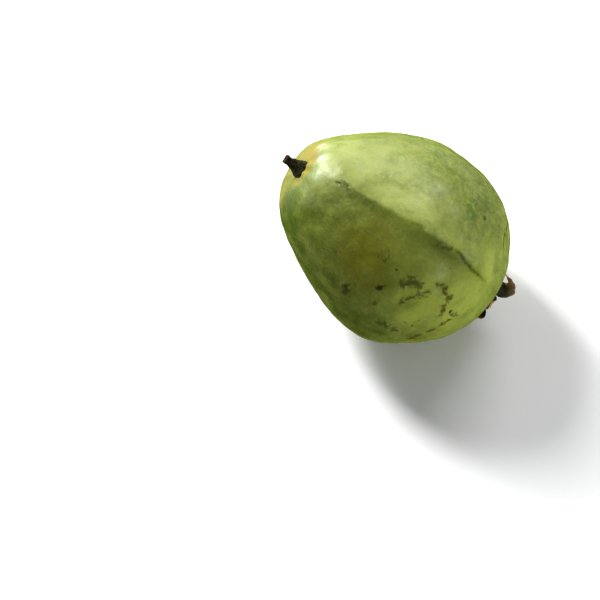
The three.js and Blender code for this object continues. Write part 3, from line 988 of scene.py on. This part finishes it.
class GUAVA_OT_calyx(bpy.types.Operator):
    """Builds the dried calyx: its ring with the style's remnant, and its five sepals"""

    bl_idname = "guava.calyx"
    bl_label = "Build calyx"

    def execute(self, context):
        sizes = context.scene.guava_calyx
        material = dried_sepal_material(sizes)
        ring = calyx_ring_rings()
        top, bottom = ring[0].mean(axis=0), ring[-1].mean(axis=0)
        shape = ring.shape[:2]
        attributes = {
            "rim": (np.full(shape, 0.4), 0.4, 0.4),
            "vein": (np.zeros(shape), 0.0, 0.0),
            # The whole ring is painted nearly black: painted shade in the basin over its own dark
            # colour.
            "dark_and_shaded": (np.ones(shape), 1.0, 1.0),
            "back": (np.zeros(shape), 0.0, 0.0),
        }
        rings = lay_down(calyx_to_fruit(ring))
        ends = lay_down(calyx_to_fruit(np.stack([top, bottom])))
        piece = capped_mesh("calyx_ring", rings, ends[0], ends[1], attributes)
        settle(piece, material, "calyx")
        for number, (sepal, tints) in enumerate(zip(SEPALS, SEPAL_TINTS)):
            blade, attributes = sepal_rings(sizes, sepal, tints, 50 + 7 * number)
            root, tip = blade[0].mean(axis=0), blade[-1].mean(axis=0)
            ends = lay_down(calyx_to_fruit(np.stack([root, tip])))
            piece = capped_mesh(
                f"sepal_{number + 1}", lay_down(calyx_to_fruit(blade)), ends[0], ends[1], attributes,
            )
            settle(piece, material, "calyx")
        return {"FINISHED"}


def make_floor(half=3.0):
    """A wide flat board under the fruit. half is its half width in metres."""
    mesh = bpy.data.meshes.new("floor")
    corners = [(-half, -half, 0), (half, -half, 0), (half, half, 0), (-half, half, 0)]
    mesh.from_pydata(corners, [], [(0, 1, 2, 3)])
    floor = bpy.data.objects.new("floor", mesh)
    bpy.context.scene.collection.objects.link(floor)
    mesh.materials.append(white_board_material())


def aim(thing, place, target):
    """Puts a camera or light at a place and turns it to face a target."""
    thing.location = place
    thing.rotation_euler = (Vector(target) - Vector(place)).to_track_quat("-Z", "Y").to_euler()


def soft_light(name, place, target, width, length, power):
    """An oblong white area light, as from a window or a soft box."""
    lamp = bpy.data.lights.new(name, "AREA")
    lamp.shape = "RECTANGLE"
    lamp.size = width
    lamp.size_y = length
    lamp.energy = power
    thing = bpy.data.objects.new(name, lamp)
    bpy.context.scene.collection.objects.link(thing)
    aim(thing, place, target)


# Where the middle of the fruit stands in the square frame of 600 pixels, the width of that frame at
# the fruit in metres, the sensor's width in millimetres, and how far off the lights stand in metres.
FRUIT_PIXEL = (400.2, 237.0)
FRAME_PIXELS = 600
FIELD_WIDTH = 0.202
SENSOR_WIDTH = 36.0
LIGHT_DISTANCE = 1.0


class GUAVA_OT_stage(bpy.types.Operator):
    """Builds the floor, the soft studio light and the camera"""

    bl_idname = "guava.stage"
    bl_label = "Build stage"

    def execute(self, context):
        sizes = context.scene.guava_stage
        make_floor()
        middle = FRUIT_MIDDLE * MM
        turn, rise = sizes.azimuth, sizes.elevation
        right = np.array([math.cos(turn), math.sin(turn), 0])
        ahead = np.array([-math.sin(turn), math.cos(turn), 0])
        above = ahead * math.sin(rise) + np.array([0, 0, math.cos(rise)])
        backward = -ahead * math.cos(rise) + np.array([0, 0, math.sin(rise)])
        pixel = FIELD_WIDTH / FRAME_PIXELS
        target = middle - right * (FRUIT_PIXEL[0] - FRAME_PIXELS / 2) * pixel
        target = target - above * (FRAME_PIXELS / 2 - FRUIT_PIXEL[1]) * pixel
        camera_data = bpy.data.cameras.new("camera")
        camera_data.sensor_width = SENSOR_WIDTH
        camera_data.lens = SENSOR_WIDTH * sizes.distance / FIELD_WIDTH
        camera = bpy.data.objects.new("camera", camera_data)
        context.scene.collection.objects.link(camera)
        camera.matrix_world = Matrix((
            (right[0], above[0], backward[0], target[0] + backward[0] * sizes.distance),
            (right[1], above[1], backward[1], target[1] + backward[1] * sizes.distance),
            (right[2], above[2], backward[2], target[2] + backward[2] * sizes.distance),
            (0, 0, 0, 1),
        ))
        context.scene.camera = camera

        # Degrees to the left of straight ahead, degrees up, width and length in metres, and power.
        for name, to_left, height, width, length, power in (
            ("window_light", 44, 39, 0.24, 0.45, sizes.key_power),
            ("strip_light", 40, 20, 0.14, 0.3, sizes.strip_power),
            ("back_light", -22, 40, 0.6, 0.6, sizes.back_power),
            ("side_light", -108, 8, 0.4, 0.3, sizes.side_power),
        ):
            to_left, height = math.radians(to_left), math.radians(height)
            level = (ahead * math.cos(to_left) - right * math.sin(to_left)) * math.cos(height)
            place = middle + LIGHT_DISTANCE * (level + np.array([0, 0, math.sin(height)]))
            soft_light(name, place, middle, width, length, power)

        world = bpy.data.worlds.new("pale_room")
        world.use_nodes = True
        background = world.node_tree.nodes["Background"]
        background.inputs["Color"].default_value = srgb("#F4F6FC")
        background.inputs["Strength"].default_value = sizes.fill
        context.scene.world = world
        context.scene.view_settings.view_transform = "Standard"
        return {"FINISHED"}


class GUAVA_PT_panel(bpy.types.Panel):
    """Lists the sizes, the colours and the steps that build the guava"""

    bl_idname = "GUAVA_PT_panel"
    bl_label = "Common guava"
    bl_space_type = "VIEW_3D"
    bl_region_type = "UI"
    bl_category = "Guava"

    def draw(self, context):
        scene = context.scene
        groups = (
            (scene.guava_skin, "guava.fruit"),
            (scene.guava_stem, "guava.stem"),
            (scene.guava_calyx, "guava.calyx"),
            (scene.guava_stage, "guava.stage"),
        )
        for group, operator in groups:
            box = self.layout.box()
            for key in group.bl_rna.properties.keys():
                if key not in {"rna_type", "name"}:
                    box.prop(group, key)
            box.operator(operator)


CLASSES = (
    GuavaSkin, GuavaStem, GuavaCalyx, GuavaStage,
    GUAVA_OT_fruit, GUAVA_OT_stem, GUAVA_OT_calyx, GUAVA_OT_stage, GUAVA_PT_panel,
)


def register():
    for kind in CLASSES:
        bpy.utils.register_class(kind)
    bpy.types.Scene.guava_skin = PointerProperty(type=GuavaSkin)
    bpy.types.Scene.guava_stem = PointerProperty(type=GuavaStem)
    bpy.types.Scene.guava_calyx = PointerProperty(type=GuavaCalyx)
    bpy.types.Scene.guava_stage = PointerProperty(type=GuavaStage)


def unregister():
    del bpy.types.Scene.guava_stage
    del bpy.types.Scene.guava_calyx
    del bpy.types.Scene.guava_stem
    del bpy.types.Scene.guava_skin
    for kind in reversed(CLASSES):
        bpy.utils.unregister_class(kind)


def main():
    register()
    bpy.ops.guava.fruit()
    bpy.ops.guava.stem()
    bpy.ops.guava.calyx()
    bpy.ops.guava.stage()


if __name__ == "__main__":
    main()
